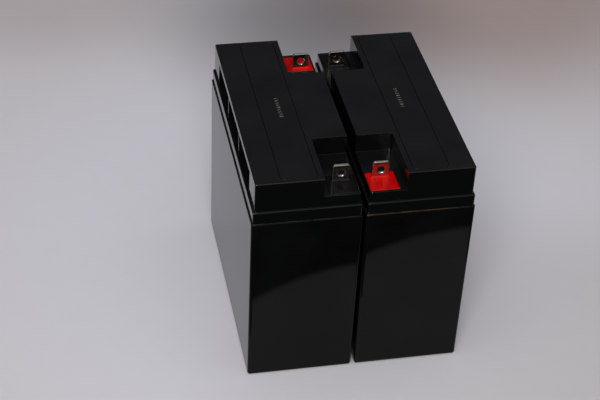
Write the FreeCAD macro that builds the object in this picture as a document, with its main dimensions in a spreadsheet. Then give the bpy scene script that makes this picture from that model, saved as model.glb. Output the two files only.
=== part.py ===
import FreeCAD, Part
import functools
import math
import os

import Sketcher

# Cartridge of two sealed 12 V lead-acid batteries of the 181 x 76 x 167 mm size.
# They stand side by side with their terminal edges facing each other, and the right
# one is the left one turned half round. The origin is on the ground, midway between
# them. +Z is up, the long sides run along Y, and the front is the -Y end.
# A battery's own frame has its terminal edge on +X and its negative end on -Y.

sizes = {
    # outside of one battery
    "case_width": 76.0,
    "case_length": 181.0,
    "case_height": 167.0,
    "case_gap": 1.9,
    # container
    "draft_inset": 0.3,
    "jar_wall": 2.6,
    "jar_floor": 3.0,
    "partition_wall": 1.8,
    "corner_radius": 2.0,
    # adhesive on the container's rim and partitions
    "bead_thickness": 0.5,
    "bead_reach": 0.45,
    "bead_corner": 1.2,
    # lid: lower band, ledge and raised block
    "lid_height": 31.6,
    "block_height": 22.35,
    "band_inset": 0.85,
    "band_radius": 1.2,
    "block_inset": 2.15,
    "block_radius": 1.5,
    "edge_bevel": 0.4,
    "lid_wall": 2.5,
    "deck_wall": 3.0,
    "skirt_wall": 1.2,
    "skirt_depth": 2.5,
    "skirt_clearance": 0.15,
    # terminal pockets and the wells in their floors
    "pocket_width": 27.2,
    "pocket_length": 49.3,
    "pocket_depth": 14.0,
    "pocket_radius": 1.5,
    "well_side": 3.0,
    "well_end": 4.2,
    "well_width": 20.3,
    "well_length": 20.8,
    "well_depth": 8.0,
    # terminal blades, bent from strip
    "blade_width": 11.7,
    "blade_thickness": 2.0,
    "blade_rise": 12.0,
    "blade_side": 12.65,
    "blade_end": 19.0,
    "blade_chamfer": 1.2,
    "bend_radius": 1.0,
    "hole_radius": 2.75,
    "hole_rise": 5.9,
    "foot_length": 10.0,
    "foot_lift": 2.0,
    # grip recess along the edge away from the terminals
    "grip_end": 23.5,
    "grip_depth": 14.0,
    "grip_lip": 4.5,
    "grip_rib": 1.5,
    # vent strip, its seat and the chamber below it
    "strip_side": 20.0,
    "strip_width": 24.5,
    "strip_end": 5.6,
    "strip_thickness": 2.2,
    "strip_gap": 0.3,
    "strip_radius": 3.0,
    "strip_ledge": 3.0,
    # vent slots and the rubber valves that lie on them
    "slot_width": 3.0,
    "slot_length": 5.0,
    "valve_radius": 5.0,
    "valve_thickness": 3.0,
    # plates and separator mats
    "negative_plate": 1.8,
    "positive_plate": 2.4,
    "plate_margin": 1.4,
    "plate_headroom": 23.4,
    "mat_margin": 0.4,
    "mat_rise": 2.0,
    # cast straps, links through the partitions and posts
    "lug_width": 10.0,
    "lug_height": 6.0,
    "strap_width": 13.0,
    "strap_thickness": 4.5,
    "tab_thickness": 2.5,
    "tab_clearance": 1.5,
    "weld_width": 7.0,
    "weld_height": 5.6,
    "weld_drop": 2.0,
    "post_width": 8.0,
    "post_length": 6.4,
    "post_clearance": 0.4,
}

cell_count = 6
negative_count = 5
positive_count = 4
bay_count = 3

document = FreeCAD.newDocument("battery_cartridge")
sheet = document.addObject("Spreadsheet::Sheet", "sizes")
for row, (name, size) in enumerate(sizes.items(), start=1):
    sheet.set(f"A{row}", name)
    sheet.set(f"B{row}", str(size))
    sheet.setAlias(f"B{row}", name)
document.recompute()

# Lengths worked out from the sheet, as expressions in a battery's own frame.
half_width = "(sizes.case_width / 2)"
half_length = "(sizes.case_length / 2)"
side_offset = "((sizes.case_width + sizes.case_gap) / 2)"
cell_length = (
    f"((sizes.case_length - 2 * sizes.jar_wall - {cell_count - 1} * sizes.partition_wall)"
    f" / {cell_count})"
)
cell_pitch = f"({cell_length} + sizes.partition_wall)"
seam_height = "(sizes.case_height - sizes.lid_height)"
ledge_height = "(sizes.case_height - sizes.block_height)"
lid_base = f"({seam_height} + sizes.bead_thickness)"
pocket_floor = "(sizes.case_height - sizes.pocket_depth)"
well_floor = f"({pocket_floor} - sizes.well_depth)"
foot_base = f"({well_floor} + sizes.foot_lift)"
seat_height = "(sizes.case_height - sizes.strip_thickness)"
chamber_floor = f"({seat_height} - sizes.valve_thickness)"
low_ceiling = f"(min({ledge_height}; {well_floor}) - sizes.lid_wall)"
mid_ceiling = f"({pocket_floor} - sizes.lid_wall)"
vent_ceiling = f"({chamber_floor} - sizes.lid_wall)"
high_ceiling = "(sizes.case_height - sizes.deck_wall)"
grip_length = "(sizes.case_length - 2 * sizes.grip_end)"
bay_length = f"(({grip_length} - {bay_count - 1} * sizes.grip_rib) / {bay_count})"
grip_back = f"(sizes.block_inset + sizes.grip_depth - {half_width})"
strip_left = f"(sizes.strip_side - {half_width})"
strip_right = f"({strip_left} + sizes.strip_width)"
strip_centre = f"(({strip_left} + {strip_right}) / 2)"
strip_half = f"({half_length} - sizes.strip_end)"
pocket_left = f"({half_width} - sizes.pocket_width)"
pocket_front = f"({half_length} - sizes.pocket_length)"
mat_thickness = (
    f"(({cell_length} - {negative_count} * sizes.negative_plate"
    f" - {positive_count} * sizes.positive_plate) / {2 * positive_count})"
)
mat_sole = f"(sizes.jar_floor + {mat_thickness})"
plate_period = f"(sizes.negative_plate + sizes.positive_plate + 2 * {mat_thickness})"
plate_top = f"({seam_height} - sizes.plate_headroom)"
strap_base = f"({plate_top} + sizes.lug_height)"
strap_top = f"({strap_base} + sizes.strap_thickness)"
tab_top = f"({lid_base} - sizes.skirt_depth - sizes.tab_clearance)"
weld_top = f"({tab_top} - sizes.weld_drop)"
weld_base = f"({weld_top} - sizes.weld_height)"
strap_centre = f"({half_width} - sizes.blade_side)"
post_place = "(sizes.blade_end - sizes.foot_length / 2)"

half_turn = 180

# Each piece of the left battery, with its place in the battery's own frame.
left_pieces = []


@functools.cache
def number(expression):
    return float(sheet.evalExpression(expression))


def cell_start(cell):
    return f"(sizes.jar_wall - {half_length} + {cell} * {cell_pitch})"


def cell_centre(cell):
    return f"({cell_start(cell)} + {cell_length} / 2)"


def partition_centre(index):
    return f"({cell_start(index)} - sizes.partition_wall / 2)"


def link_side(index):
    # Links change sides from one partition to the next. Both posts are on +X.
    return 1 if index % 2 == 0 else -1


def place(body, side, across, along, rise):
    # The left battery (side -1) stands as drawn, the right one is turned half round.
    angle = half_turn if side > 0 else 0
    upright_axis = FreeCAD.Vector(0, 0, 1)
    body.Placement = FreeCAD.Placement(
        FreeCAD.Vector(), FreeCAD.Rotation(upright_axis, angle)
    )
    body.setExpression(".Placement.Base.x", f"{side} * {side_offset} - {side} * {across}")
    body.setExpression(".Placement.Base.y", f"-1 * {side} * {along}")
    body.setExpression(".Placement.Base.z", rise)


def add_body(name, across="0", along="0", rise="0"):
    body = document.addObject("PartDesign::Body", f"left_{name}")
    body.Label = f"left_{name}"
    body.AllowCompound = True
    place(body, -1, across, along, rise)
    left_pieces.append((body, name, across, along, rise))
    return body


def add_copy(original, battery, side, name, across="0", along="0", rise="0"):
    # A body that follows the original's shape and has a place of its own.
    body = document.addObject("PartDesign::Body", f"{battery}_{name}")
    body.Label = f"{battery}_{name}"
    body.AllowCompound = True
    shape = body.newObject("PartDesign::FeatureBase", f"{body.Name}_shape")
    shape.BaseFeature = original
    body.Tip = shape
    place(body, side, across, along, rise)
    return body


def repeat(original, name, across="0", along="0", rise="0"):
    body = add_copy(original, "left", -1, name, across, along, rise)
    left_pieces.append((body, name, across, along, rise))
    return body


def add_sketch(body, name, plane="XY_Plane", offset="0"):
    sketch = body.newObject("Sketcher::SketchObject", f"{body.Name}_{name}")
    support = next(item for item in body.Origin.OriginFeatures if item.Role == plane)
    sketch.AttachmentSupport = (support, [""])
    sketch.MapMode = "FlatFace"
    sketch.setExpression(".AttachmentOffset.Base.z", offset)
    return sketch


def set_size(sketch, expression, kind, *place):
    index = sketch.addConstraint(Sketcher.Constraint(kind, *place, number(expression)))
    sketch.setExpression(f"Constraints[{index}]", expression)


def add_outline(sketch, corners, bends=None):
    # A closed line through the corners. A bend gives the centre and the radius of the
    # arc that runs from the corner of its number to the next one.
    bends = bends or {}
    first = sketch.GeometryCount
    count = len(corners)
    points = [FreeCAD.Vector(number(x), number(y), 0) for x, y in corners]
    begins = []
    for index in range(count):
        start = points[index]
        stop = points[(index + 1) % count]
        if index in bends:
            x, y, _ = bends[index]
            begins.append(add_arc(sketch, start, stop, FreeCAD.Vector(number(x), number(y), 0)))
        else:
            sketch.addGeometry(Part.LineSegment(start, stop))
            begins.append(1)
    joins = []
    for index in range(count):
        following = (index + 1) % count
        ends = (first + index, 3 - begins[index], first + following, begins[following])
        joins.append(Sketcher.Constraint("Coincident", *ends))
    # A corner that shares a coordinate with its neighbour is held by a level or an
    # upright line, and every other one by its distance from the origin.
    for axis, kind, along in ((0, "DistanceX", "Vertical"), (1, "DistanceY", "Horizontal")):
        for index, corner in enumerate(corners):
            before = index - 1
            after = (index + 1) % count
            if index and before not in bends and corners[before][axis] == corner[axis]:
                joins.append(Sketcher.Constraint(along, first + before))
            elif after == 0 and index not in bends and corners[0][axis] == corner[axis]:
                joins.append(Sketcher.Constraint(along, first + index))
            else:
                set_size(sketch, corner[axis], kind, -1, 1, first + index, begins[index])
    for index, (_, _, radius) in bends.items():
        set_size(sketch, radius, "Radius", first + index)
    sketch.addConstraint(joins)


def add_arc(sketch, start, stop, centre):
    # The short arc between two points. Returns which of its two ends lies at the start.
    away = start - centre
    towards = stop - centre
    anticlockwise = away.cross(towards).z > 0
    if not anticlockwise:
        away, towards = towards, away
    circle = Part.Circle(centre, FreeCAD.Vector(0, 0, 1), away.Length)
    first_angle = math.atan2(away.y, away.x)
    last_angle = math.atan2(towards.y, towards.x)
    sketch.addGeometry(Part.ArcOfCircle(circle, first_angle, last_angle))
    return 1 if anticlockwise else 2


def add_rectangle(sketch, left, right, front, back, radius=None, rounded=(0, 1, 2, 3)):
    # The corners run from left front to right front, right back and left back.
    sharp = [(left, front), (right, front), (right, back), (left, back)]
    inward = [("+", "+"), ("-", "+"), ("-", "-"), ("+", "-")]
    corners = []
    bends = {}
    for index, (x, y) in enumerate(sharp):
        if radius is None or index not in rounded:
            corners.append((x, y))
            continue
        inner_x = f"({x} {inward[index][0]} {radius})"
        inner_y = f"({y} {inward[index][1]} {radius})"
        bends[len(corners)] = (inner_x, inner_y, radius)
        runs = [(x, inner_y), (inner_x, y)]
        corners += runs if index % 2 == 0 else runs[::-1]
    add_outline(sketch, corners, bends)


def add_inset_rectangle(sketch, inset, radius=None):
    # The battery's outline, moved in by the inset on all four sides.
    add_rectangle(
        sketch,
        f"({inset} - {half_width})",
        f"({half_width} - {inset})",
        f"({inset} - {half_length})",
        f"({half_length} - {inset})",
        radius,
    )


def add_circle(sketch, x, y, radius):
    centre = FreeCAD.Vector(number(x), number(y), 0)
    geometry = sketch.addGeometry(
        Part.Circle(centre, FreeCAD.Vector(0, 0, 1), number(radius))
    )
    set_size(sketch, radius, "Radius", geometry)
    set_size(sketch, x, "DistanceX", -1, 1, geometry, 3)
    set_size(sketch, y, "DistanceY", -1, 1, geometry, 3)


def add_pad(body, sketch, length, down=False, midplane=False):
    feature = body.newObject("PartDesign::Pad", f"{sketch.Name}_pad")
    feature.Profile = sketch
    feature.Reversed = down
    feature.Midplane = midplane
    feature.setExpression("Length", length)
    return feature


def add_pocket(body, sketch, depth=None, up=False, midplane=False):
    feature = body.newObject("PartDesign::Pocket", f"{sketch.Name}_pocket")
    feature.Profile = sketch
    feature.Reversed = up
    feature.Midplane = midplane
    if depth is None:
        feature.Type = "ThroughAll"
    else:
        feature.setExpression("Length", depth)
    return feature


def dress_edges(body, kind, name, size, wanted):
    document.recompute()
    base = body.Tip
    chosen = [
        f"Edge{index}" for index, edge in enumerate(base.Shape.Edges, start=1) if wanted(edge)
    ]
    feature = body.newObject(f"PartDesign::{kind}", f"{body.Name}_{name}")
    feature.Base = (base, chosen)
    feature.setExpression("Radius" if kind == "Fillet" else "Size", size)
    return feature


def level(edge, height):
    # Whether an edge lies flat at one height.
    near = 0.01
    box = edge.BoundBox
    return box.ZLength < near and abs(box.ZMin - height) < near


def upright(edge):
    box = edge.BoundBox
    return box.ZLength > max(box.XLength, box.YLength)


def make_container():
    # Moulded jar with a slight draft, and five partitions that make six cells.
    body = add_body("container")
    outline = add_sketch(body, "outline")
    add_inset_rectangle(outline, "sizes.draft_inset")
    outer = add_pad(body, outline, seam_height)
    outer.setExpression("TaperAngle", f"atan(sizes.draft_inset / {seam_height})")
    dress_edges(
        body, "Fillet", "corners", "sizes.corner_radius", lambda edge: upright(edge) or level(edge, 0)
    )

    cells = add_sketch(body, "cells", offset=seam_height)
    add_cells(cells)
    add_pocket(body, cells, f"{seam_height} - sizes.jar_floor")

    for index in range(1, cell_count):
        window = add_sketch(body, f"window_{index}", "XZ_Plane", f"-1 * {partition_centre(index)}")
        add_weld(window, link_side(index))
        add_pocket(body, window, "2 * sizes.partition_wall", midplane=True)
    return body


def add_cells(sketch):
    inner = f"({half_width} - sizes.jar_wall)"
    for cell in range(cell_count):
        start = cell_start(cell)
        add_rectangle(sketch, f"-{inner}", inner, start, f"({start} + {cell_length})")


def add_weld(sketch, side):
    # Outline of a link's weld and of the window for it in a partition.
    left = f"({side} * {strap_centre} - sizes.weld_width / 2)"
    right = f"({side} * {strap_centre} + sizes.weld_width / 2)"
    add_rectangle(sketch, left, right, weld_base, weld_top)


def make_adhesive():
    # Resin laid on the rim and the partitions, squeezed out past the lid's band.
    body = add_body("seam_adhesive")
    outline = add_sketch(body, "outline", offset=seam_height)
    add_inset_rectangle(outline, "(sizes.band_inset - sizes.bead_reach)")
    add_pad(body, outline, "sizes.bead_thickness")
    dress_edges(body, "Chamfer", "corners", "sizes.bead_corner", upright)
    cells = add_sketch(body, "cells", offset=lid_base)
    add_cells(cells)
    add_pocket(body, cells)
    return body


def make_lid():
    # One moulding: band, ledge, raised block, two terminal pockets with wells, a grip
    # recess of three bays, the vent strip's seat and chamber with six slots, and below
    # a skirt and a hollow for each cell.
    body = add_body("lid")
    band = add_sketch(body, "band", offset=lid_base)
    add_inset_rectangle(band, "sizes.band_inset", "sizes.band_radius")
    add_pad(body, band, f"{ledge_height} - {lid_base}")
    ledge = number(ledge_height)
    dress_edges(body, "Chamfer", "band_edge", "sizes.edge_bevel", lambda edge: level(edge, ledge))

    block = add_sketch(body, "block", offset=ledge_height)
    add_inset_rectangle(block, "sizes.block_inset", "sizes.block_radius")
    add_pad(body, block, "sizes.block_height")
    top = number("sizes.case_height")
    dress_edges(body, "Chamfer", "block_edge", "sizes.edge_bevel", lambda edge: level(edge, top))

    cut_terminal_pockets(body)
    cut_grip(body)
    cut_vent_chamber(body)
    hollow_lid(body)
    return body


def cut_terminal_pockets(body):
    # Stepped down at both ends of the terminal edge, and open to that edge and the end.
    pockets = add_sketch(body, "pockets", offset="sizes.case_height")
    wells = add_sketch(body, "wells", offset=pocket_floor)
    for end, inner_corner in ((-1, 3), (1, 0)):
        limits = (f"{end} * {pocket_front}", f"{end} * {half_length}")
        front, back = limits[::end]
        corner = (inner_corner,)
        add_rectangle(
            pockets, pocket_left, half_width, front, back, "sizes.pocket_radius", corner
        )
        add_well(wells, end)
    add_pocket(body, pockets, "sizes.pocket_depth")
    add_pocket(body, wells, "sizes.well_depth")
    posts = add_sketch(body, "posts", offset=well_floor)
    for end in (-1, 1):
        centre = f"{end} * ({half_length} - {post_place})"
        add_post(posts, strap_centre, centre, "sizes.post_clearance")
    add_pocket(body, posts)


def add_well(sketch, end):
    right = f"({half_width} - sizes.well_side)"
    outer = f"({half_length} - sizes.well_end)"
    limits = (f"{end} * ({outer} - sizes.well_length)", f"{end} * {outer}")
    front, back = limits[::end]
    add_rectangle(sketch, f"({right} - sizes.well_width)", right, front, back)


def add_post(sketch, x, y, clearance="0"):
    # Section of a post, or of a hole for it, larger by the clearance all round.
    across = f"(sizes.post_width / 2 + {clearance})"
    along = f"(sizes.post_length / 2 + {clearance})"
    add_rectangle(
        sketch, f"({x} - {across})", f"({x} + {across})", f"({y} - {along})", f"({y} + {along})"
    )


def cut_grip(body):
    # Three finger bays between two ribs, open to the side and below onto the ledge.
    bays = add_sketch(body, "bays", offset=ledge_height)
    for bay in range(bay_count):
        start = f"({bay} * ({bay_length} + sizes.grip_rib) - {grip_length} / 2)"
        stop = f"({start} + {bay_length})"
        add_rectangle(bays, f"-{half_width}", grip_back, start, stop)
    add_pocket(body, bays, "sizes.block_height - sizes.grip_lip", up=True)


def cut_vent_chamber(body):
    # The strip's seat, the chamber under it, and a vent slot over each cell.
    seat = add_sketch(body, "seat", offset="sizes.case_height")
    add_strip(seat, "sizes.strip_gap", "(sizes.strip_radius + sizes.strip_gap)")
    add_pocket(body, seat, "sizes.strip_thickness")
    chamber = add_sketch(body, "chamber", offset=seat_height)
    add_strip(chamber, "-sizes.strip_ledge")
    add_pocket(body, chamber, "sizes.valve_thickness")
    slots = add_sketch(body, "slots", offset=chamber_floor)
    left = f"({strip_centre} - sizes.slot_width / 2)"
    right = f"({strip_centre} + sizes.slot_width / 2)"
    for cell in range(cell_count):
        front = f"({cell_centre(cell)} - sizes.slot_length / 2)"
        back = f"({cell_centre(cell)} + sizes.slot_length / 2)"
        add_rectangle(slots, left, right, front, back)
    add_pocket(body, slots)


def add_strip(sketch, margin, radius=None):
    # The vent strip's outline, larger by the margin all round.
    add_rectangle(
        sketch,
        f"({strip_left} - ({margin}))",
        f"({strip_right} + {margin})",
        f"(-{strip_half} - ({margin}))",
        f"({strip_half} + {margin})",
        radius,
    )


def hollow_lid(body):
    # A skirt goes down into each cell. The hollow above it rises to the underside of
    # the ledge, between the grip and the terminal edge to that of the pockets, below
    # the vent strip to that of its chamber, and between the pockets to that of the top.
    skirts = add_sketch(body, "skirts", offset=lid_base)
    low_rooms = add_sketch(body, "low_rooms", offset=lid_base)
    mid_rooms = add_sketch(body, "mid_rooms", offset=lid_base)
    vent_rooms = add_sketch(body, "vent_rooms", offset=lid_base)
    high_rooms = add_sketch(body, "high_rooms", offset=lid_base)
    skirt_inset = "(sizes.jar_wall + sizes.skirt_clearance)"
    skirt_right = f"({half_width} - {skirt_inset})"
    room_right = f"({skirt_right} - sizes.skirt_wall)"
    block_right = f"({half_width} - sizes.block_inset - sizes.lid_wall)"
    block_right = f"min({block_right}; {room_right})"
    well_left = f"({half_width} - sizes.well_side - sizes.well_width - sizes.lid_wall)"
    mid_left = f"({grip_back} + sizes.lid_wall)"
    high_left = f"({pocket_left} - sizes.lid_wall)"
    high_back = f"({pocket_front} - sizes.lid_wall)"
    for cell in range(cell_count):
        start = f"({cell_start(cell)} + sizes.skirt_clearance)"
        stop = f"({cell_start(cell)} + {cell_length} - sizes.skirt_clearance)"
        room_start = f"({start} + sizes.skirt_wall)"
        room_stop = f"({stop} - sizes.skirt_wall)"
        add_rectangle(skirts, f"-{skirt_right}", skirt_right, start, stop)
        add_rectangle(skirts, f"-{room_right}", room_right, room_start, room_stop)
        add_rectangle(low_rooms, f"-{room_right}", room_right, room_start, room_stop)
        under_well = cell in (0, cell_count - 1)
        mid_right = well_left if under_well else block_right
        add_rectangle(mid_rooms, mid_left, mid_right, room_start, room_stop)
        add_rectangle(vent_rooms, mid_left, high_left, room_start, room_stop)
        if not under_well:
            high_start = f"max({room_start}; -1 * {high_back})"
            high_stop = f"min({room_stop}; {high_back})"
            add_rectangle(high_rooms, high_left, block_right, high_start, high_stop)
    add_pad(body, skirts, "sizes.skirt_depth", down=True)
    add_pocket(body, low_rooms, f"{low_ceiling} - {lid_base}", up=True)
    add_pocket(body, mid_rooms, f"{mid_ceiling} - {lid_base}", up=True)
    add_pocket(body, vent_rooms, f"{vent_ceiling} - {lid_base}", up=True)
    add_pocket(body, high_rooms, f"{high_ceiling} - {lid_base}", up=True)


def make_vent_cover():
    body = add_body("vent_cover")
    outline = add_sketch(body, "outline", offset=seat_height)
    add_strip(outline, "0", "sizes.strip_radius")
    add_pad(body, outline, "sizes.strip_thickness")
    return body


def make_valves():
    # Rubber discs, one on each vent slot, all held down by the vent cover.
    body = add_body("vent_valves")
    discs = add_sketch(body, "discs", offset=chamber_floor)
    for cell in range(cell_count):
        add_circle(discs, strip_centre, cell_centre(cell), "sizes.valve_radius")
    add_pad(body, discs, "sizes.valve_thickness")
    return body


def add_blade_profile(sketch, end, top):
    # Side view of the bent strip: the foot points to the battery's end.
    face = f"({half_length} - sizes.blade_end)"
    back = f"({face} - sizes.blade_thickness)"
    toe = f"({face} + sizes.foot_length)"
    foot_top = f"({foot_base} + sizes.blade_thickness)"
    bend_place = f"({face} + sizes.bend_radius)"
    bend_height = f"({foot_top} + sizes.bend_radius)"
    corners = [
        (back, bend_height),
        (bend_place, foot_base),
        (toe, foot_base),
        (toe, foot_top),
        (bend_place, foot_top),
        (face, bend_height),
        (face, top),
        (back, top),
    ]
    centre = (f"{end} * {bend_place}", bend_height)
    bends = {
        0: (*centre, "(sizes.bend_radius + sizes.blade_thickness)"),
        4: (*centre, "sizes.bend_radius"),
    }
    add_outline(sketch, [(f"{end} * {y}", z) for y, z in corners], bends)


def make_blade(end, name):
    # Tinned strip bent into an L: the foot is soldered to the post under the resin.
    body = add_body(f"{name}_terminal")
    blade_top = f"({pocket_floor} + sizes.blade_rise)"
    profile = add_sketch(body, "profile", "YZ_Plane", strap_centre)
    add_blade_profile(profile, end, blade_top)
    add_pad(body, profile, "sizes.blade_width", midplane=True)
    high = number(blade_top)
    dress_edges(
        body,
        "Chamfer",
        "corners",
        "sizes.blade_chamfer",
        lambda edge: level(edge, high) and edge.BoundBox.XLength < edge.BoundBox.YLength,
    )
    face = f"-1 * {end} * ({half_length} - sizes.blade_end)"
    hole = add_sketch(body, "hole", "XZ_Plane", face)
    add_circle(hole, strap_centre, f"({pocket_floor} + sizes.hole_rise)", "sizes.hole_radius")
    add_pocket(body, hole, "3 * sizes.blade_thickness", midplane=True)
    return body


def make_seal(end, name):
    # Coloured resin that fills the well round the terminal's foot and the post.
    body = add_body(f"{name}_terminal_seal")
    fill = add_sketch(body, "fill", offset=well_floor)
    add_well(fill, end)
    add_pad(body, fill, "sizes.well_depth")
    post = add_sketch(body, "post", offset=well_floor)
    add_post(post, strap_centre, f"{end} * ({half_length} - {post_place})")
    add_pocket(body, post, f"{foot_base} - {well_floor}", up=True)
    bed = add_sketch(body, "bed", "YZ_Plane", strap_centre)
    add_blade_profile(bed, end, pocket_floor)
    add_pocket(body, bed, "sizes.blade_width", midplane=True)
    return body


def make_separators():
    # Glass mats, each folded in a U round one positive plate.
    body = add_body("cell_1_separators", along=cell_start(0))
    folds = add_sketch(body, "folds", "YZ_Plane")
    floor = "sizes.jar_floor"
    top = f"({plate_top} + sizes.mat_rise)"
    for mat in range(positive_count):
        start = f"(sizes.negative_plate + {mat} * {plate_period})"
        inner = f"({start} + {mat_thickness})"
        outer = f"({inner} + sizes.positive_plate)"
        stop = f"({outer} + {mat_thickness})"
        corners = [
            (start, floor),
            (stop, floor),
            (stop, top),
            (outer, top),
            (outer, mat_sole),
            (inner, mat_sole),
            (inner, top),
            (start, top),
        ]
        add_outline(folds, corners)
    width = "sizes.case_width - 2 * sizes.jar_wall - 2 * sizes.mat_margin"
    add_pad(body, folds, width, midplane=True)
    return body


def make_plate_group(index, name):
    # Positive plates of the cell before a partition and negative plates of the cell
    # after it, cast on to straps that are welded through the partition. The first
    # and the last group have one side only, and carry a post in place of the weld.
    has_positive = index > 0
    has_negative = index < cell_count
    body = add_body(name, along=partition_centre(index))
    wall = "(sizes.partition_wall / 2)"
    far = f"({wall} + {cell_length})"
    middle = f"({link_side(index)} * {strap_centre})"
    strap = (f"({middle} - sizes.strap_width / 2)", f"({middle} + sizes.strap_width / 2)")
    lug = (f"({middle} - sizes.lug_width / 2)", f"({middle} + sizes.lug_width / 2)")
    plate_side = f"({half_width} - sizes.jar_wall - sizes.plate_margin)"
    plate = (f"-{plate_side}", plate_side)
    first_positive = f"(sizes.negative_plate + {mat_thickness} - {far})"

    straps = add_sketch(body, "straps", offset=strap_base)
    if has_negative:
        add_rectangle(straps, *strap, wall, far)
    if has_positive:
        add_rectangle(straps, *strap, first_positive, f"-{wall}")
    add_pad(body, straps, "sizes.strap_thickness")

    if has_negative and has_positive:
        tabs = add_sketch(body, "tabs", offset=strap_base)
        tab_end = f"({wall} + sizes.tab_thickness)"
        add_rectangle(tabs, *strap, wall, tab_end)
        add_rectangle(tabs, *strap, f"-{tab_end}", f"-{wall}")
        add_pad(body, tabs, f"{tab_top} - {strap_base}")
        weld = add_sketch(body, "weld", "XZ_Plane")
        add_weld(weld, link_side(index))
        add_pad(body, weld, "sizes.partition_wall", midplane=True)
    else:
        way = 1 if has_negative else -1
        post = add_sketch(body, "post", offset=strap_top)
        add_post(post, middle, f"({way} * ({post_place} - sizes.jar_wall + {wall}))")
        add_pad(body, post, f"{foot_base} - {strap_top}")

    lugs = add_sketch(body, "lugs", offset=plate_top)
    if has_negative:
        negatives = add_sketch(body, "negatives", offset="sizes.jar_floor")
        for count in range(negative_count):
            start = f"({wall} + {count} * {plate_period})"
            stop = f"({start} + sizes.negative_plate)"
            add_rectangle(lugs, *lug, start, stop)
            add_rectangle(negatives, *plate, start, stop)
        add_pad(body, negatives, f"{plate_top} - sizes.jar_floor")
    if has_positive:
        positives = add_sketch(body, "positives", offset=mat_sole)
        for count in range(positive_count):
            start = f"({first_positive} + {count} * {plate_period})"
            stop = f"({start} + sizes.positive_plate)"
            add_rectangle(lugs, *lug, start, stop)
            add_rectangle(positives, *plate, start, stop)
        add_pad(body, positives, f"{plate_top} - {mat_sole}")
    add_pad(body, lugs, "sizes.lug_height")
    return body


def make_cells():
    separators = make_separators()
    for cell in range(1, cell_count):
        repeat(separators, f"cell_{cell + 1}_separators", along=cell_start(cell))
    make_plate_group(0, "negative_end_plates")
    links = {}
    for index in range(1, cell_count):
        name = f"plate_link_{index}_{index + 1}"
        side = link_side(index)
        if side in links:
            repeat(links[side], name, along=partition_centre(index))
        else:
            links[side] = make_plate_group(index, name)
    make_plate_group(cell_count, "positive_end_plates")


make_container()
make_adhesive()
make_lid()
make_vent_cover()
make_valves()
make_cells()
for end, pole in ((-1, "negative"), (1, "positive")):
    make_blade(end, pole)
    make_seal(end, pole)

pieces = [body for body, *_ in left_pieces]
for body, *rest in left_pieces:
    pieces.append(add_copy(body, "right", 1, *rest))
document.recompute()

for item in document.Objects:
    if "Invalid" in item.State or "Error" in item.State:
        raise RuntimeError(f"{item.Name} failed: {item.State}")
    if item.TypeId == "PartDesign::Pocket" and not item.Shape.Volume < item.BaseFeature.Shape.Volume:
        raise RuntimeError(f"{item.Name} cuts nothing")
for piece in pieces:
    if piece.Shape.isNull() or not piece.Shape.isValid():
        raise RuntimeError(f"{piece.Label} has no valid shape")

os.makedirs("parts", exist_ok=True)
for piece in pieces:
    piece.Shape.exportStep(os.path.join("parts", f"{piece.Label}.step"))
print(f"{len(pieces)} pieces written")
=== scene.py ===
import math
import random

import bmesh
import bpy
from mathutils import Matrix, Vector, noise


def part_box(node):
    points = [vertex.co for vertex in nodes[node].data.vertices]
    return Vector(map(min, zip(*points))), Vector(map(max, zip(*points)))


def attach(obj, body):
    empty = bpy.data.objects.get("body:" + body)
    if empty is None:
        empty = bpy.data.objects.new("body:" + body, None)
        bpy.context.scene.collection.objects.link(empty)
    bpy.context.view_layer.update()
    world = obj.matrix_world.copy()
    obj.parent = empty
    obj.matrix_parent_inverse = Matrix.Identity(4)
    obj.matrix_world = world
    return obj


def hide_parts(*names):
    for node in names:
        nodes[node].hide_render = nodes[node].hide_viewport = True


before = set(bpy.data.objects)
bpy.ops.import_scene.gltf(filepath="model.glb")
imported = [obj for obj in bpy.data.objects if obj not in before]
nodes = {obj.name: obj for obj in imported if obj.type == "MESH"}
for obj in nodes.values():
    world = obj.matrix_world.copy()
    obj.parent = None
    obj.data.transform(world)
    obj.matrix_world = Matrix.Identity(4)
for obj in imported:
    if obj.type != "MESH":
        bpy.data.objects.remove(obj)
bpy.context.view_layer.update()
millimetre = 0.001
sides = ("left", "right")
poles = ("negative", "positive")
print("cartridge loaded,", len(nodes), "nodes")


# camera

benchCamera = {
    "place": Vector((-0.2185, -0.8521, 0.7438)),
    "target": Vector((-0.0234, 0.0047, 0.0800)),
    "rollDegrees": 2.99,
    "lens": 89.74,
    "sensor": 36.0,
}


def addCamera(spec):
    data = bpy.data.cameras.new("benchCamera")
    data.lens = spec["lens"]
    data.sensor_width = spec["sensor"]
    camera = bpy.data.objects.new("benchCamera", data)
    bpy.context.collection.objects.link(camera)
    forward = (spec["target"] - spec["place"]).normalized()
    right = forward.cross(Vector((0, 0, 1))).normalized()
    up = right.cross(forward)
    roll = math.radians(spec["rollDegrees"])
    across = right * math.cos(roll) + up * math.sin(roll)
    upward = up * math.cos(roll) - right * math.sin(roll)
    turn = Matrix((across, upward, -forward)).transposed()
    camera.matrix_world = Matrix.Translation(spec["place"]) @ turn.to_4x4()
    bpy.context.scene.camera = camera


addCamera(benchCamera)
bpy.context.scene.view_settings.view_transform = "Standard"
print("camera set")


# small helpers for node materials

# Where the mix node has its inputs and its output, for colours and for plain values.
mixColours = (6, 7)
mixColourOut = 2
mixValues = (2, 3)
mixValueOut = 0


def feed(tree, socket, value):
    # Another node's output is linked. A colour or a plain value is set.
    if isinstance(value, bpy.types.NodeSocket):
        tree.links.new(value, socket)
    elif socket.type == "RGBA":
        socket.default_value = (*value, 1.0)
    else:
        socket.default_value = value


def addNode(tree, kind, settings=None, inputs=None):
    node = tree.nodes.new(kind)
    for name, value in (settings or {}).items():
        setattr(node, name, value)
    for name, value in (inputs or {}).items():
        feed(tree, node.inputs[name], value)
    return node


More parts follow.
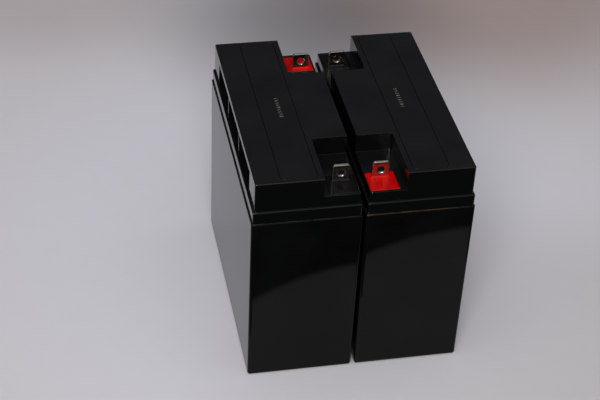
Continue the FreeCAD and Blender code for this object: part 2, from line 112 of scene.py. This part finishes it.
def startMaterial(name):
    material = bpy.data.materials.new(name)
    material.use_nodes = True
    tree = material.node_tree
    tree.nodes.clear()
    output = addNode(tree, "ShaderNodeOutputMaterial")
    shader = addNode(tree, "ShaderNodeBsdfPrincipled")
    tree.links.new(shader.outputs["BSDF"], output.inputs["Surface"])
    return material, tree, shader


def finishSurface(tree, shader, colour, rough, normal):
    feed(tree, shader.inputs["Base Color"], colour)
    feed(tree, shader.inputs["Roughness"], rough)
    feed(tree, shader.inputs["Normal"], normal)


def place(tree):
    # Position on the piece in metres, which is the same as its place in the cartridge.
    return addNode(tree, "ShaderNodeTexCoord").outputs["Object"]


def axes(tree, vector):
    return addNode(tree, "ShaderNodeSeparateXYZ", inputs={"Vector": vector}).outputs


def grain(tree, where, scale, detail=3.0, roughness=0.5):
    inputs = {"Vector": where, "Scale": scale, "Detail": detail, "Roughness": roughness}
    return addNode(tree, "ShaderNodeTexNoise", inputs=inputs).outputs["Fac"]


def stretch(tree, where, scale):
    inputs = {"Vector": where, "Scale": scale}
    return addNode(tree, "ShaderNodeMapping", inputs=inputs).outputs["Vector"]


def distanceFrom(tree, where, point):
    inputs = {0: where, 1: point}
    node = addNode(tree, "ShaderNodeVectorMath", {"operation": "DISTANCE"}, inputs)
    return node.outputs["Value"]


def remap(tree, value, low, high, newLow, newHigh, curve="LINEAR"):
    inputs = {
        "Value": value,
        "From Min": low,
        "From Max": high,
        "To Min": newLow,
        "To Max": newHigh,
    }
    node = addNode(tree, "ShaderNodeMapRange", {"interpolation_type": curve}, inputs)
    return node.outputs["Result"]


def fade(tree, value, low, high):
    # 0 at low and 1 at high.
    return remap(tree, value, low, high, 0.0, 1.0)


def blendColours(tree, factor, first, second, way="MIX"):
    settings = {"data_type": "RGBA", "blend_type": way}
    inputs = {"Factor": factor, mixColours[0]: first, mixColours[1]: second}
    return addNode(tree, "ShaderNodeMix", settings, inputs).outputs[mixColourOut]


def blendValues(tree, factor, first, second):
    inputs = {"Factor": factor, mixValues[0]: first, mixValues[1]: second}
    return addNode(tree, "ShaderNodeMix", {"data_type": "FLOAT"}, inputs).outputs[mixValueOut]


def combine(tree, operation, first, second):
    inputs = {0: first, 1: second}
    return addNode(tree, "ShaderNodeMath", {"operation": operation}, inputs).outputs["Value"]


def multiply(tree, first, second):
    return combine(tree, "MULTIPLY", first, second)


def addTo(tree, first, second):
    return combine(tree, "ADD", first, second)


def addBump(tree, height, strength, distance, below=None):
    inputs = {"Height": height, "Strength": strength, "Distance": distance}
    if below is not None:
        inputs["Normal"] = below
    return addNode(tree, "ShaderNodeBump", inputs=inputs).outputs["Normal"]


topFacing = (0.6, 0.95)  # upward part of the normal, from a wall to a flat top


def facingUp(tree):
    # 1 on surfaces that face straight up, 0 on walls.
    normal = addNode(tree, "ShaderNodeNewGeometry").outputs["Normal"]
    return fade(tree, axes(tree, normal)["Z"], *topFacing)


dustSpecks = {
    "core": 0.6,  # share of a speck's size inside its soft rim
    "rarity": (0.80, 0.82),  # where among all places, numbered 0 to 1, the specks start
}


def dust(tree, where, scale, size):
    # Sparse specks: 1 inside a speck, 0 elsewhere.
    inputs = {"Vector": where, "Scale": scale, "Randomness": 1.0}
    cells = addNode(tree, "ShaderNodeTexVoronoi", inputs=inputs).outputs
    near = fade(tree, cells["Distance"], size, size * dustSpecks["core"])
    pick = addNode(tree, "ShaderNodeSeparateColor", inputs={"Color": cells["Color"]})
    return multiply(tree, near, fade(tree, pick.outputs["Red"], *dustSpecks["rarity"]))


# In the finishes below, a grain is its scale, detail and roughness, a bump is its strength and
# depth, and a range is the part of the grain over which one look turns into the other.

# moulded black plastic of the jar

jarPlastic = {
    "dark": (0.0012, 0.0014, 0.0013),
    "light": (0.0024, 0.0027, 0.0026),
    "cloudGrain": (22.0, 4.0, 0.6),
    "cloudRange": (0.35, 0.7),
    "speck": (0.060, 0.055, 0.050),
    "speckSpread": (210.0, 0.045),  # how close the specks stand, and their size
    "speckRough": 0.4,
    "gloss": (0.02, 0.07),
    "smudgeGrain": (38.0, 5.0, 0.65),
    "wipeGrain": (90.0, 4.0, 0.6),
    "wipeStretch": (1.0, 1.0, 0.10),
    "wipeShare": 0.6,
    "markRange": (0.6, 1.1),
    "ior": 1.255,
    "rippleGrain": (26.0, 2.0),
    "rippleBump": (0.10, 0.0006),
    "peelGrain": (900.0, 2.0),
    "peelBump": (0.03, 0.0001),
}


def makeJarPlastic(spec):
    material, tree, shader = startMaterial("jarPlastic")
    where = place(tree)
    clouds = fade(tree, grain(tree, where, *spec["cloudGrain"]), *spec["cloudRange"])
    shade = blendColours(tree, clouds, spec["dark"], spec["light"])
    specks = dust(tree, where, *spec["speckSpread"])
    colour = blendColours(tree, specks, shade, spec["speck"])
    stretched = stretch(tree, where, spec["wipeStretch"])
    wipes = multiply(tree, grain(tree, stretched, *spec["wipeGrain"]), spec["wipeShare"])
    marks = addTo(tree, grain(tree, where, *spec["smudgeGrain"]), wipes)
    gloss = remap(tree, marks, *spec["markRange"], *spec["gloss"])
    rough = addTo(tree, gloss, multiply(tree, specks, spec["speckRough"]))
    ripple = addBump(tree, grain(tree, stretched, *spec["rippleGrain"]), *spec["rippleBump"])
    peel = addBump(tree, grain(tree, where, *spec["peelGrain"]), *spec["peelBump"], ripple)
    finishSurface(tree, shader, colour, rough, peel)
    shader.inputs["IOR"].default_value = spec["ior"]
    return material


# lid plastic: satin on top, as glossy as the jar on its walls

lidPlastic = {
    "dark": (0.0026, 0.0028, 0.0031),
    "light": (0.0052, 0.0056, 0.0062),
    "wallDark": (0.0015, 0.0019, 0.0017),
    "cloudGrain": (30.0, 4.0, 0.6),
    "mottleShare": 0.35,
    "mottleRange": (0.45, 0.85),
    "speck": (0.14, 0.13, 0.11),
    "speckSpread": (330.0, 0.05),
    "wallGloss": (0.07, 0.16),
    "topGloss": (0.28, 0.34),
    "smudgeGrain": (42.0, 5.0, 0.65),
    "smudgeRange": (0.3, 0.75),
    # Upward faces from the pocket floors' height down, the ledge with them, get this share of the
    # top's finish: smoother, and darker as painted shade for the recessed pocket floors.
    "pocketShadeAndGloss": 0.50,
    "pocketHeights": (0.1535, 0.1600),
    "ior": 1.36,
    "rippleGrain": (16.0, 1.0),
    "rippleBump": (0.06, 0.0006),
    "toothGrain": (1400.0, 2.0),
    "toothStrength": (0.02, 0.16),  # on walls and on tops
    "toothDepth": 0.00012,
}


def makeLidPlastic(spec, name="lidPlastic"):
    material, tree, shader = startMaterial(name)
    where = place(tree)
    height = axes(tree, where)["Z"]
    # Lower upward faces are given a darker colour, painted shade for the pockets, and a smoother
    # finish.
    share = remap(tree, height, *spec["pocketHeights"], spec["pocketShadeAndGloss"], 1.0)
    top = multiply(tree, facingUp(tree), share)
    fine = grain(tree, where, *spec["toothGrain"])
    clouds = grain(tree, where, *spec["cloudGrain"])
    mottle = addTo(tree, clouds, multiply(tree, fine, spec["mottleShare"]))
    mottled = fade(tree, mottle, *spec["mottleRange"])
    flatShade = blendColours(tree, mottled, spec["dark"], spec["light"])
    shade = blendColours(tree, top, spec["wallDark"], flatShade)
    specks = dust(tree, where, *spec["speckSpread"])
    colour = blendColours(tree, specks, shade, spec["speck"])
    smudge = grain(tree, where, *spec["smudgeGrain"])
    wall = remap(tree, smudge, *spec["smudgeRange"], *spec["wallGloss"])
    flat = remap(tree, smudge, *spec["smudgeRange"], *spec["topGloss"])
    ripple = addBump(tree, grain(tree, where, *spec["rippleGrain"]), *spec["rippleBump"])
    strength = blendValues(tree, top, *spec["toothStrength"])
    tooth = addBump(tree, fine, strength, spec["toothDepth"], ripple)
    finishSurface(tree, shader, colour, blendValues(tree, top, wall, flat), tooth)
    shader.inputs["IOR"].default_value = spec["ior"]
    return material


# bent strip, tin plated

tinnedStrip = {
    "tin": (0.66, 0.60, 0.49),
    "dull": (0.41, 0.34, 0.25),
    "patchGrain": (210.0, 4.0, 0.6),
    "patchRange": (0.42, 0.62),
    "stain": (0.13, 0.070, 0.036),
    "stainGrain": (320.0, 5.0, 0.7),
    "stainRange": (0.54, 0.68),
    "stainMost": 0.85,
    "cutEdgeAndHighlight": (0.66, 0.62, 0.56),
    "gloss": (0.07, 0.17),
    "glossRange": (0.7, 1.3),
    "edgeGloss": 0.34,
    "drawGrain": (2600.0, 3.0, 0.6),
    "drawStretch": (1.0, 1.0, 0.08),
    "drawBump": (0.10, 0.00006),
    "dentBump": (0.20, 0.0003),
}


def makeTinnedStrip(spec):
    material, tree, shader = startMaterial("tinnedStrip")
    where = place(tree)
    drawn = grain(tree, stretch(tree, where, spec["drawStretch"]), *spec["drawGrain"])
    patches = grain(tree, where, *spec["patchGrain"])
    dulled = fade(tree, patches, *spec["patchRange"])
    metal = blendColours(tree, dulled, spec["tin"], spec["dull"])
    spots = grain(tree, where, *spec["stainGrain"])
    stains = remap(tree, spots, *spec["stainRange"], 0.0, spec["stainMost"])
    stained = blendColours(tree, stains, metal, spec["stain"])
    # Upward faces, the blades' cut top edges, get a lighter colour: partly the bare cut metal,
    # partly a painted highlight of light from above.
    cutAndHighlightMask = facingUp(tree)
    colour = blendColours(tree, cutAndHighlightMask, stained, spec["cutEdgeAndHighlight"])
    uneven = addTo(tree, drawn, patches)
    gloss = remap(tree, uneven, *spec["glossRange"], *spec["gloss"])
    lines = addBump(tree, drawn, *spec["drawBump"])
    dents = addBump(tree, patches, *spec["dentBump"], lines)
    finishSurface(tree, shader, colour, blendValues(tree, cutAndHighlightMask, gloss, spec["edgeGloss"]), dents)
    shader.inputs["Metallic"].default_value = 1.0
    return material


# poured resin round the terminals

wellResin = {
    "positive": {
        "deep": (0.27, 0.0003, 0.0002),
        "bright": (0.47, 0.0008, 0.0004),
        "gloss": (0.10, 0.24),
    },
    "negative": {
        "deep": (0.0016, 0.0017, 0.0018),
        "bright": (0.0036, 0.0036, 0.0040),
        "gloss": (0.08, 0.26),
    },
    "swirlGrain": (120.0, 4.0, 0.6),
    "streakGrain": (420.0, 3.0, 0.6),
    "streakStretch": (1.0, 0.15, 1.0),
    "streakShare": 0.5,
    "shadeRange": (0.55, 0.95),
    "glossGrain": (260.0, 3.0),
    "glossRange": (0.3, 0.75),
    "ior": 1.24,
    "pitScale": 900.0,
    "pitRange": (0.0, 0.25),
    "pitBump": (0.08, 0.00005),
    "skinBump": (0.25, 0.0004),
}


def makeWellResin(pole, spec):
    tint = spec[pole]
    material, tree, shader = startMaterial(f"{pole}Resin")
    where = place(tree)
    swirl = grain(tree, where, *spec["swirlGrain"])
    streaks = grain(tree, stretch(tree, where, spec["streakStretch"]), *spec["streakGrain"])
    mixed = addTo(tree, swirl, multiply(tree, streaks, spec["streakShare"]))
    shade = fade(tree, mixed, *spec["shadeRange"])
    colour = blendColours(tree, shade, tint["deep"], tint["bright"])
    patches = grain(tree, where, *spec["glossGrain"])
    gloss = remap(tree, patches, *spec["glossRange"], *tint["gloss"])
    inputs = {"Vector": where, "Scale": spec["pitScale"]}
    pits = addNode(tree, "ShaderNodeTexVoronoi", inputs=inputs).outputs["Distance"]
    skin = addBump(tree, swirl, *spec["skinBump"])
    pitted = addBump(tree, fade(tree, pits, *spec["pitRange"]), *spec["pitBump"], skin)
    finishSurface(tree, shader, colour, gloss, pitted)
    shader.inputs["IOR"].default_value = spec["ior"]
    return material


# adhesive in the seam, dark, and tan where it squeezed out thickest

seamAdhesive = {
    "dark": (0.0035, 0.0030, 0.0028),
    "pale": (0.012, 0.0095, 0.0085),
    "runGrain": (90.0, 4.0, 0.65),
    "paleRange": (0.42, 0.60),
    "tan": (0.072, 0.040, 0.024),
    # The tan shows in front, from the cartridge's middle, and fades towards its right side.
    "tanMiddle": (0.0, 0.0005),
    "tanFront": (-0.0893, -0.0896),
    "tanAcross": (0.002, 0.070),
    "tanLeast": 0.15,
    "tanRange": (0.38, 0.52),
    "tanThin": 0.3,
    "gloss": (0.20, 0.36),
    "glossGrain": (300.0, 3.0),
    "glossRange": (0.3, 0.7),
    "ior": 1.22,
    "runBump": (0.3, 0.0003),
}


def makeSeamAdhesive(spec):
    material, tree, shader = startMaterial("seamAdhesive")
    where = place(tree)
    runs = grain(tree, where, *spec["runGrain"])
    colour = blendColours(tree, fade(tree, runs, *spec["paleRange"]), spec["dark"], spec["pale"])
    parts = axes(tree, where)
    onRight = fade(tree, parts["X"], *spec["tanMiddle"])
    inFront = fade(tree, parts["Y"], *spec["tanFront"])
    fading = remap(tree, parts["X"], *spec["tanAcross"], 1.0, spec["tanLeast"])
    thick = remap(tree, runs, *spec["tanRange"], spec["tanThin"], 1.0)
    tan = multiply(tree, multiply(tree, multiply(tree, onRight, inFront), fading), thick)
    gloss = remap(
        tree, grain(tree, where, *spec["glossGrain"]), *spec["glossRange"], *spec["gloss"]
    )
    colour = blendColours(tree, tan, colour, spec["tan"])
    finishSurface(tree, shader, colour, gloss, addBump(tree, runs, *spec["runBump"]))
    shader.inputs["IOR"].default_value = spec["ior"]
    return material


# batch ticks printed on the vent cover

tickInk = {
    "fresh": (0.25, 0.22, 0.17),
    "worn": (0.045, 0.040, 0.033),
    "wearGrain": (1500.0, 4.0, 0.7),
    "wearRange": (0.42, 0.58),
    "gloss": (0.5, 0.38),
    "wearBump": (0.2, 0.00002),
}


def makeTickInk(spec):
    material, tree, shader = startMaterial("tickInk")
    wear = fade(tree, grain(tree, place(tree), *spec["wearGrain"]), *spec["wearRange"])
    colour = blendColours(tree, wear, spec["fresh"], spec["worn"])
    gloss = remap(tree, wear, 0.0, 1.0, *spec["gloss"])
    finishSurface(tree, shader, colour, gloss, addBump(tree, wear, *spec["wearBump"]))
    return material


# pieces inside the sealed cases

innerFinishes = {
    "capRubber": {
        "dark": (0.010, 0.010, 0.010),
        "light": (0.022, 0.021, 0.020),
        "scale": 500.0,
        "gloss": (0.55, 0.75),
        "metal": 0.0,
        "bump": 0.15,
    },
    "glassMat": {
        "dark": (0.62, 0.62, 0.60),
        "light": (0.84, 0.84, 0.82),
        "scale": 1600.0,
        "gloss": (0.85, 0.95),
        "metal": 0.0,
        "bump": 0.6,
    },
    "castLead": {
        "dark": (0.10, 0.10, 0.115),
        "light": (0.24, 0.24, 0.26),
        "scale": 180.0,
        "gloss": (0.40, 0.62),
        "metal": 0.9,
        "bump": 0.35,
    },
}
innerGrain = {
    "detail": 5.0,
    "roughness": 0.6,
    "shadeRange": (0.35, 0.7),
    "glossRange": (0.3, 0.7),
    "bumpDepth": 0.0002,
}


def makeInnerFinish(name):
    spec = innerFinishes[name]
    material, tree, shader = startMaterial(name)
    texture = grain(tree, place(tree), spec["scale"], innerGrain["detail"], innerGrain["roughness"])
    shade = fade(tree, texture, *innerGrain["shadeRange"])
    colour = blendColours(tree, shade, spec["dark"], spec["light"])
    gloss = remap(tree, texture, *innerGrain["glossRange"], *spec["gloss"])
    bump = addBump(tree, texture, spec["bump"], innerGrain["bumpDepth"])
    finishSurface(tree, shader, colour, gloss, bump)
    shader.inputs["Metallic"].default_value = spec["metal"]
    return material


finishes = {
    "container": makeJarPlastic(jarPlastic),
    "lid": makeLidPlastic(lidPlastic),
    "vent_cover": makeLidPlastic(lidPlastic, "coverPlastic"),
    "seam_adhesive": makeSeamAdhesive(seamAdhesive),
    "terminal": makeTinnedStrip(tinnedStrip),
    "negative_terminal_seal": makeWellResin("negative", wellResin),
    "positive_terminal_seal": makeWellResin("positive", wellResin),
    "ticks": makeTickInk(tickInk),
    "vent_valve": makeInnerFinish("capRubber"),
    "separators": makeInnerFinish("glassMat"),
    "plate": makeInnerFinish("castLead"),
}


def finishFor(node):
    # The longest of the names above that the node's own name holds.
    fitting = [name for name in finishes if name in node]
    return finishes[max(fitting, key=len)]


for name, piece in nodes.items():
    piece.data.materials.clear()
    piece.data.materials.append(finishFor(name))
print("finishes given to every node")


# soft edges on what the eye meets, in millimetres and degrees

softEdges = {
    "widths": {"container": 0.35, "lid": 0.18, "vent_cover": 0.15, "terminal": 0.25},
    "segments": 2,
    "sharpFrom": 30.0,
    "flatWithin": 0.5,
    "joinWithin": 0.002,
}


def softenEdges(piece, width, spec):
    # Faces are joined and flat ones merged first, so that the rounding runs clean.
    weld = piece.modifiers.new("joinFaces", "WELD")
    weld.merge_threshold = spec["joinWithin"] * millimetre
    merge = piece.modifiers.new("mergeFlats", "DECIMATE")
    merge.decimate_type = "DISSOLVE"
    merge.angle_limit = math.radians(spec["flatWithin"])
    bevel = piece.modifiers.new("softEdge", "BEVEL")
    bevel.width = width * millimetre
    bevel.segments = spec["segments"]
    bevel.limit_method = "ANGLE"
    bevel.angle_limit = math.radians(spec["sharpFrom"])
    bevel.use_clamp_overlap = False
    bevel.harden_normals = True
    bevel.loop_slide = False  # even widths where flats were merged


for name, piece in nodes.items():
    for ending, width in softEdges["widths"].items():
        if name.endswith(ending):
            softenEdges(piece, width, softEdges)
print("edges softened")


# shaping helpers for the new pieces, whose lengths are in millimetres and angles in degrees


def spreadBetween(stops, step):
    # Even steps from each stop to the next, with every stop kept.
    values = [stops[0]]
    for start, end in zip(stops, stops[1:]):
        count = max(1, round((end - start) / step))
        values += [start + (end - start) * turn / count for turn in range(1, count + 1)]
    return values


def raiseSlab(shape, floor, topAt):
    # Flat floor faces get a top and walls. Points and faces come in the same order each run.
    points = dict.fromkeys(point for face in floor for point in face.verts)
    rim = [edge for face in floor for edge in face.edges if edge.is_boundary]
    above = {point: shape.verts.new((*point.co.xy, topAt(point.co))) for point in points}
    for face in floor:
        shape.faces.new([above[point] for point in face.verts])
    for edge in rim:
        first, second = edge.verts
        shape.faces.new((first, second, above[second], above[first]))


def finishPiece(name, shape, material, sharpAngle):
    bmesh.ops.recalc_face_normals(shape, faces=shape.faces)
    mesh = bpy.data.meshes.new(name)
    shape.to_mesh(mesh)
    shape.free()
    mesh.shade_smooth()
    mesh.set_sharp_from_angle(angle=math.radians(sharpAngle))
    mesh.materials.append(material)
    piece = bpy.data.objects.new(name, mesh)
    bpy.context.collection.objects.link(piece)
    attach(piece, "root")
    return piece


# poured resin in the wells, rounded off at the walls and drawn up round the blade

wellPool = {
    "meshStep": 0.40,
    "sink": 0.10,
    "wallRound": 0.90,
    "bladeRise": 0.90,
    "riseReach": 0.75,
    "ripple": 0.12,
    "rippleScale": 160.0,
    "bladeThickness": 2.0,
    "sharpFrom": 50.0,
    "slots": {"positive": "red_resin", "negative": "black_resin"},
}


def outsideDistance(x, y, low, high):
    # How far a point lies outside a rectangle.
    across = max(low[0] - x, 0, x - high[0])
    along = max(low[1] - y, 0, y - high[1])
    return math.hypot(across, along)


def addWellPool(side, pole, spec):
    node = f"{side}_{pole}_terminal_seal"
    low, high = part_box(node)
    tabLow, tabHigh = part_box(f"{side}_{pole}_terminal")
    thickness = spec["bladeThickness"] * millimetre
    if low.y < 0:
        tabLow.y = tabHigh.y - thickness
    else:
        tabHigh.y = tabLow.y + thickness
    step = spec["meshStep"] * millimetre
    columns = spreadBetween([low.x, tabLow.x, tabHigh.x, high.x], step)
    rows = spreadBetween([low.y, tabLow.y, tabHigh.y, high.y], step)
    reach = spec["riseReach"] * millimetre
    wallRound = spec["wallRound"] * millimetre

    def surface(spot):
        x, y = spot.xy
        acrossShare = max(0, 1 - min(x - low.x, high.x - x) / wallRound)
        alongShare = max(0, 1 - min(y - low.y, high.y - y) / wallRound)
        edge = min(1, math.hypot(acrossShare, alongShare))
        drop = spec["wallRound"] * (1 - math.sqrt(1 - edge * edge))
        rise = spec["bladeRise"] * math.exp(-outsideDistance(x, y, tabLow, tabHigh) / reach)
        wave = spec["ripple"] * noise.noise(Vector((x, y, 0.0)) * spec["rippleScale"])
        return high.z + (rise - drop - spec["sink"] + wave) * millimetre

    shape = bmesh.new()
    points = [[shape.verts.new((x, y, low.z)) for x in columns] for y in rows]
    for row in range(len(rows) - 1):
        for column in range(len(columns) - 1):
            middleX = (columns[column] + columns[column + 1]) / 2
            middleY = (rows[row] + rows[row + 1]) / 2
            if outsideDistance(middleX, middleY, tabLow, tabHigh) > 0:
                near = points[row]
                far = points[row + 1]
                shape.faces.new((near[column], near[column + 1], far[column + 1], far[column]))
    loose = [point for point in shape.verts if not point.link_faces]
    bmesh.ops.delete(shape, geom=loose, context="VERTS")
    raiseSlab(shape, shape.faces[:], surface)
    resin = finishes[f"{pole}_terminal_seal"]
    pool = finishPiece(f"{side}_{pole}_pool", shape, resin, spec["sharpFrom"])
    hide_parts(node)


for side in sides:
    for pole in poles:
        addWellPool(side, pole, wellPool)
print("resin poured")


# bead of adhesive squeezed out of the seam, uneven in width

seamBead = {
    "step": 0.7,
    "thin": 0.14,
    "thick": 0.40,
    "inset": 0.20,
    "corner": 1.2,
    "cornerSteps": 5,
    "sides": 8,
    "lift": 0.8,  # above the seam's foot, as a share of the bead's radius
    "swellScale": 70.0,
    "fineScale": 400.0,
    "fineShare": 0.5,
    "usualShare": 0.45,
    "swellShare": 0.8,
    "sharpFrom": 70.0,
}


def roundedLoop(low, high, corner, cornerSteps, step):
    # Points round a rectangle with rounded corners, each with its outward direction.
    loop = []
    centres = (
        (high.x - corner, high.y - corner, 0),
        (low.x + corner, high.y - corner, 90),
        (low.x + corner, low.y + corner, 180),
        (high.x - corner, low.y + corner, 270),
    )
    bends = []
    for x, y, start in centres:
        for turn in range(cornerSteps + 1):
            angle = math.radians(start + 90 * turn / cornerSteps)
            outward = Vector((math.cos(angle), math.sin(angle), 0))
            bends.append((Vector((x, y, 0)) + outward * corner, outward))
    for (here, outward), (there, following) in zip(bends, bends[1:] + bends[:1]):
        count = max(1, round((there - here).length / step))
        for turn in range(count):
            share = turn / count
            loop.append((here.lerp(there, share), outward.lerp(following, share).normalized()))
    return loop


def addSeamBead(side, spec):
    low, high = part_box(f"{side}_seam_adhesive")
    inset = Vector((1, 1, 0)) * spec["inset"] * millimetre
    corner = spec["corner"] * millimetre
    step = spec["step"] * millimetre
    shape = bmesh.new()
    rings = []
    for point, outward in roundedLoop(low + inset, high - inset, corner, spec["cornerSteps"], step):
        fine = spec["fineShare"] * noise.noise(point * spec["fineScale"])
        swell = noise.noise(point * spec["swellScale"]) + fine
        share = min(max(spec["usualShare"] + spec["swellShare"] * swell, 0), 1)
        radius = (spec["thin"] + (spec["thick"] - spec["thin"]) * share) * millimetre
        middle = point + Vector((0, 0, low.z + radius * spec["lift"]))
        ring = []
        for turn in range(spec["sides"]):
            angle = 2 * math.pi * turn / spec["sides"]
            offset = outward * math.cos(angle) + Vector((0, 0, math.sin(angle)))
            ring.append(shape.verts.new(middle + offset * radius))
        rings.append(ring)
    for ring, following in zip(rings, rings[1:] + rings[:1]):
        for turn in range(spec["sides"]):
            after = (turn + 1) % spec["sides"]
            shape.faces.new((ring[turn], ring[after], following[after], following[turn]))
    name = f"{side}_seam_bead"
    bead = finishPiece(name, shape, finishes["seam_adhesive"], spec["sharpFrom"])


for side in sides:
    addSeamBead(side, seamBead)
print("seams beaded")


# batch ticks: a plain row of short bars, the same on both covers

batchTicks = {
    "count": 9,
    "pitch": 2.8,
    "length": 2.8,
    "lengthShares": (0.85, 1.0),
    "width": 0.65,
    "thickness": 0.02,
    "roundSteps": 4,
    "fromMiddle": (1.3, -0.7),
    "sharpFrom": 30.0,
}


def addTick(shape, middle, length, width, thickness, roundSteps):
    outline = []
    for end, start in ((1, -90), (-1, 90)):
        for turn in range(roundSteps + 1):
            angle = math.radians(start + 180 * turn / roundSteps)
            x = end * (length - width) / 2 + math.cos(angle) * width / 2
            y = math.sin(angle) * width / 2
            outline.append(shape.verts.new(middle + Vector((x, y, 0))))
    raiseSlab(shape, [shape.faces.new(outline)], lambda spot: spot.z + thickness)


def addBatchTicks(side, spec):
    low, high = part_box(f"{side}_vent_cover")
    turn = 1 if side == "left" else -1
    middle = (low + high) / 2
    middle.z = high.z
    middle += Vector(spec["fromMiddle"]).to_3d() * millimetre * turn
    wobble = random.Random(side)
    width = spec["width"] * millimetre
    thickness = spec["thickness"] * millimetre
    shape = bmesh.new()
    for number in range(spec["count"]):
        along = (number - (spec["count"] - 1) / 2) * spec["pitch"] * millimetre
        length = spec["length"] * wobble.uniform(*spec["lengthShares"]) * millimetre
        spot = middle + Vector((0, along, 0))
        addTick(shape, spot, length, width, thickness, spec["roundSteps"])
    name = f"{side}_batch_ticks"
    ticks = finishPiece(name, shape, finishes["ticks"], spec["sharpFrom"])


for side in sides:
    addBatchTicks(side, batchTicks)
print("ticks printed")


# pale paper the cartridge stands on, with painted shadow behind it and painted light and shade
# round it

benchPaper = {
    "half": 3.0,
    "pale": (0.515, 0.495, 0.516),
    "fibre": 0.04,
    "fibreTone": 0.6,
    "fibreGrain": (60.0, 5.0, 0.6),
    "fibreRange": (0.3, 0.7),
    # Each spot is painted shade, or painted light where its tone is above 1: its middle, from where
    # it weakens, where it ends, and its tone.
    "paintedLightAndShade": (
        ((0.055, 0.396, 0.0), 0.00, 0.224, (0.487, 0.493, 0.503)),
        ((0.261, 0.455, 0.0), 0.06, 0.329, (0.655, 0.559, 0.509)),
        ((-0.189, 0.509, 0.0), 0.06, 0.219, (0.839, 0.799, 0.783)),
        ((-0.011, 0.080, 0.0), 0.15, 0.356, (1.055, 1.082, 1.119)),
        ((0.143, -0.190, 0.0), 0.15, 0.320, (0.870, 0.866, 0.842)),
    ),
    "gloss": 0.65,
    "weaveGrain": (700.0, 3.0),
    "weaveBump": (0.15, 0.0002),
    # Beyond these arcs, each a middle and a radius, the paper is painted the dark room colour for
    # glossy rays only, a painted dark reflection on the polished fronts.
    "arcs": (
        ((0.05, -0.0015, 0.0), 0.197),
        ((0.14, 0.0069, 0.0), 0.237),
    ),
    "arcSoftness": 0.006,
    "arcSplit": (0.032, 0.033),  # the first arc holds left of here, the second right of it
    "arcFront": (-0.105, -0.115),
    # colour of the painted dark reflection, seen only by glossy rays
    "room": (0.020, 0.023, 0.023),
}


def makeBenchPaper(spec):
    material, tree, shader = startMaterial("benchPaper")
    where = place(tree)
    fibres = grain(tree, where, *spec["fibreGrain"])
    greyer = [spec["fibreTone"] * part for part in spec["pale"]]
    paper = blendColours(
        tree, remap(tree, fibres, *spec["fibreRange"], 0.0, spec["fibre"]), spec["pale"], greyer
    )
    # Soft spots of painted shadow and painted light multiply the paper's colour.
    for middle, core, reach, tone in spec["paintedLightAndShade"]:
        away = distanceFrom(tree, where, middle)
        paintedSpot = remap(tree, away, core, reach, 1.0, 0.0, "SMOOTHERSTEP")
        paper = blendColours(tree, paintedSpot, paper, tone, "MULTIPLY")
    beyond = []
    for middle, radius in spec["arcs"]:
        away = distanceFrom(tree, where, middle)
        beyond.append(fade(tree, away, radius, radius + spec["arcSoftness"]))
    parts = axes(tree, where)
    onRight = fade(tree, parts["X"], *spec["arcSplit"])
    inFront = fade(tree, parts["Y"], *spec["arcFront"])
    # Glossy rays see the paper painted dark beyond the arcs: a painted reflection, not real paper
    # colour.
    glossy = addNode(tree, "ShaderNodeLightPath").outputs["Is Glossy Ray"]
    paintedReflectionMask = multiply(tree, blendValues(tree, onRight, *beyond), inFront)
    colour = blendColours(tree, multiply(tree, paintedReflectionMask, glossy), paper, spec["room"])
    weave = addBump(tree, grain(tree, where, *spec["weaveGrain"]), *spec["weaveBump"])
    finishSurface(tree, shader, colour, spec["gloss"], weave)
    shader.inputs["Specular IOR Level"].default_value = 0.0
    return material


def addBench(spec):
    half = spec["half"]
    mesh = bpy.data.meshes.new("benchTop")
    corners = [(-half, -half, 0), (half, -half, 0), (half, half, 0), (-half, half, 0)]
    mesh.from_pydata(corners, [], [(0, 1, 2, 3)])
    mesh.materials.append(makeBenchPaper(spec))
    bench = bpy.data.objects.new("benchTop", mesh)
    bpy.context.collection.objects.link(bench)


addBench(benchPaper)


# lamps and room

lampTarget = Vector((0, 0, 0.08))
lamps = {
    "keyLamp": {
        "place": (-0.62, -2.00, 1.65),
        "size": 1.3,
        "power": 58.0,
        "colour": (1.0, 0.99, 0.98),
        "glintOnly": False,
    },
    "ceilingLamp": {
        "place": (-0.10, -0.20, 2.10),
        "size": 1.8,
        "power": 11.0,
        "colour": (0.99, 0.99, 1.0),
        "glintOnly": False,
    },
    # Seen only as small glints on rounded corners and metal edges.
    "glintLamp": {
        "place": (-0.42, -0.42, 1.05),
        "size": 0.12,
        "power": 18.0,
        "colour": (1.0, 0.99, 0.97),
        "glintOnly": True,
    },
}


def addLamp(name, spec):
    data = bpy.data.lights.new(name, "AREA")
    data.size = spec["size"]
    data.energy = spec["power"]
    data.color = spec["colour"]
    lamp = bpy.data.objects.new(name, data)
    lamp.location = spec["place"]
    lamp.visible_diffuse = not spec["glintOnly"]
    aim = lampTarget - Vector(spec["place"])
    lamp.rotation_euler = aim.to_track_quat("-Z", "Y").to_euler()
    bpy.context.collection.objects.link(lamp)


for name, spec in lamps.items():
    addLamp(name, spec)

room = {
    "lit": (0.42, 0.42, 0.44),
    "backWall": (0.085, 0.085, 0.090),
    # How far a direction points to the back, from where the wall fades in to where it is whole.
    "fade": (0.25, 0.55),
}


def addRoom(spec):
    world = bpy.data.worlds.new("room")
    world.use_nodes = True
    tree = world.node_tree
    direction = addNode(tree, "ShaderNodeTexCoord").outputs["Generated"]
    back = fade(tree, axes(tree, direction)["Y"], *spec["fade"])
    tone = blendColours(tree, back, spec["lit"], spec["backWall"])
    tree.links.new(tone, tree.nodes["Background"].inputs["Color"])
    bpy.context.scene.world = world


addRoom(room)
print("bench, lamps and room set")
